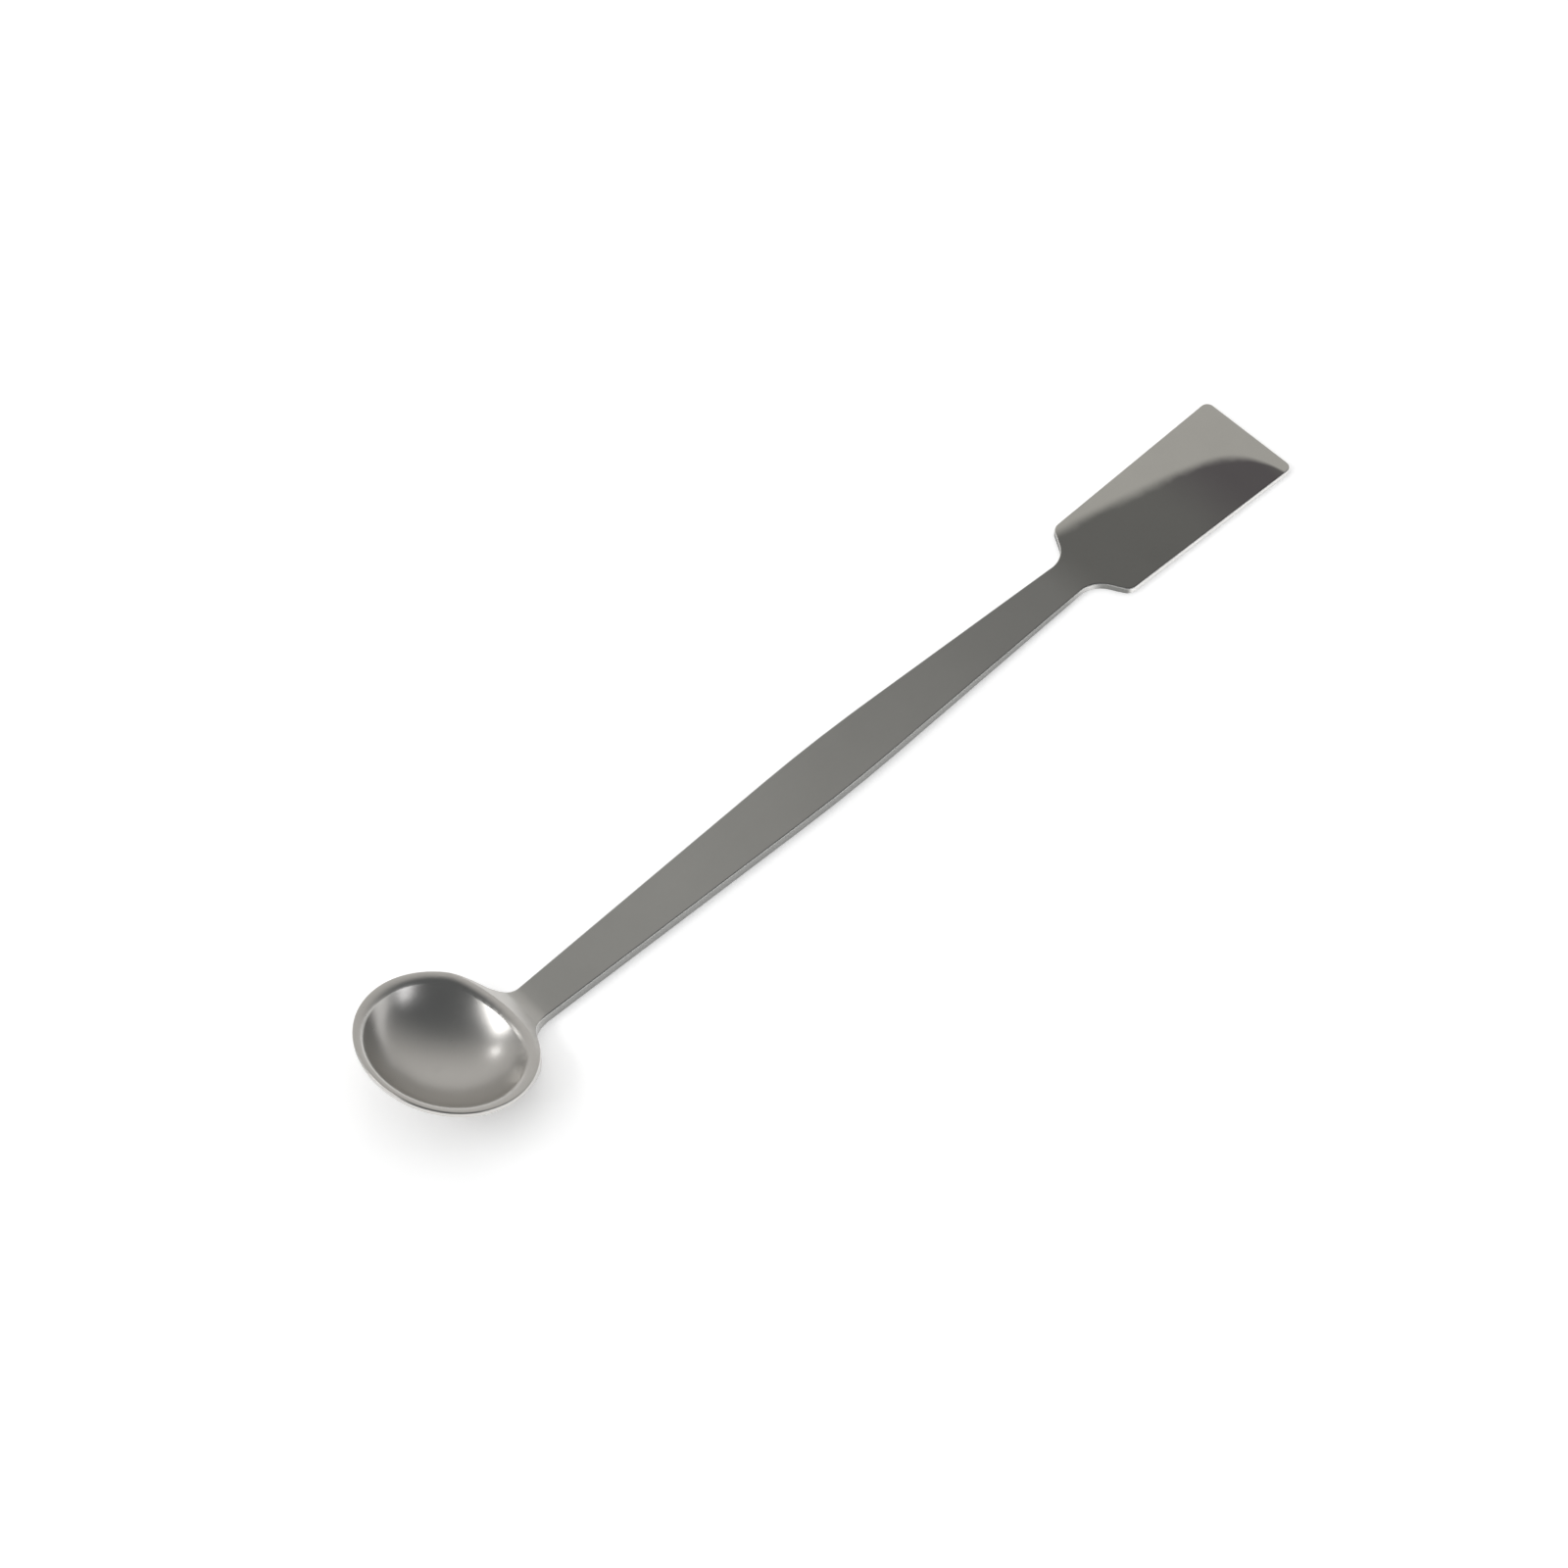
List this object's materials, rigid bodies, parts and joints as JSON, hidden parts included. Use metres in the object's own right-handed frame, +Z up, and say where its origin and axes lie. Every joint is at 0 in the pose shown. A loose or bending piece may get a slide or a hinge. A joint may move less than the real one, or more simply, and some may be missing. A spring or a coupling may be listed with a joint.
{
  "type": "lab spatula",
  "caption": "One-piece steel laboratory spatula with a round dished spoon at one end of a flat waisted handle and a flat flared square-ended blade at the other.",
  "frame": {"origin": "half way along the length, on the middle line, at the level of the flat handle underside it lies on", "axes": "+X from the spoon to the blade, +Y to the left of that, +Z up out of the face that the spoon opens to"},
  "size_m": [0.18, 0.0268, 0.0135],
  "materials": {
    "steel": "satin"
  },
  "bodies": {
    "root": {"spatula": "steel"}
  },
  "joints": []
}
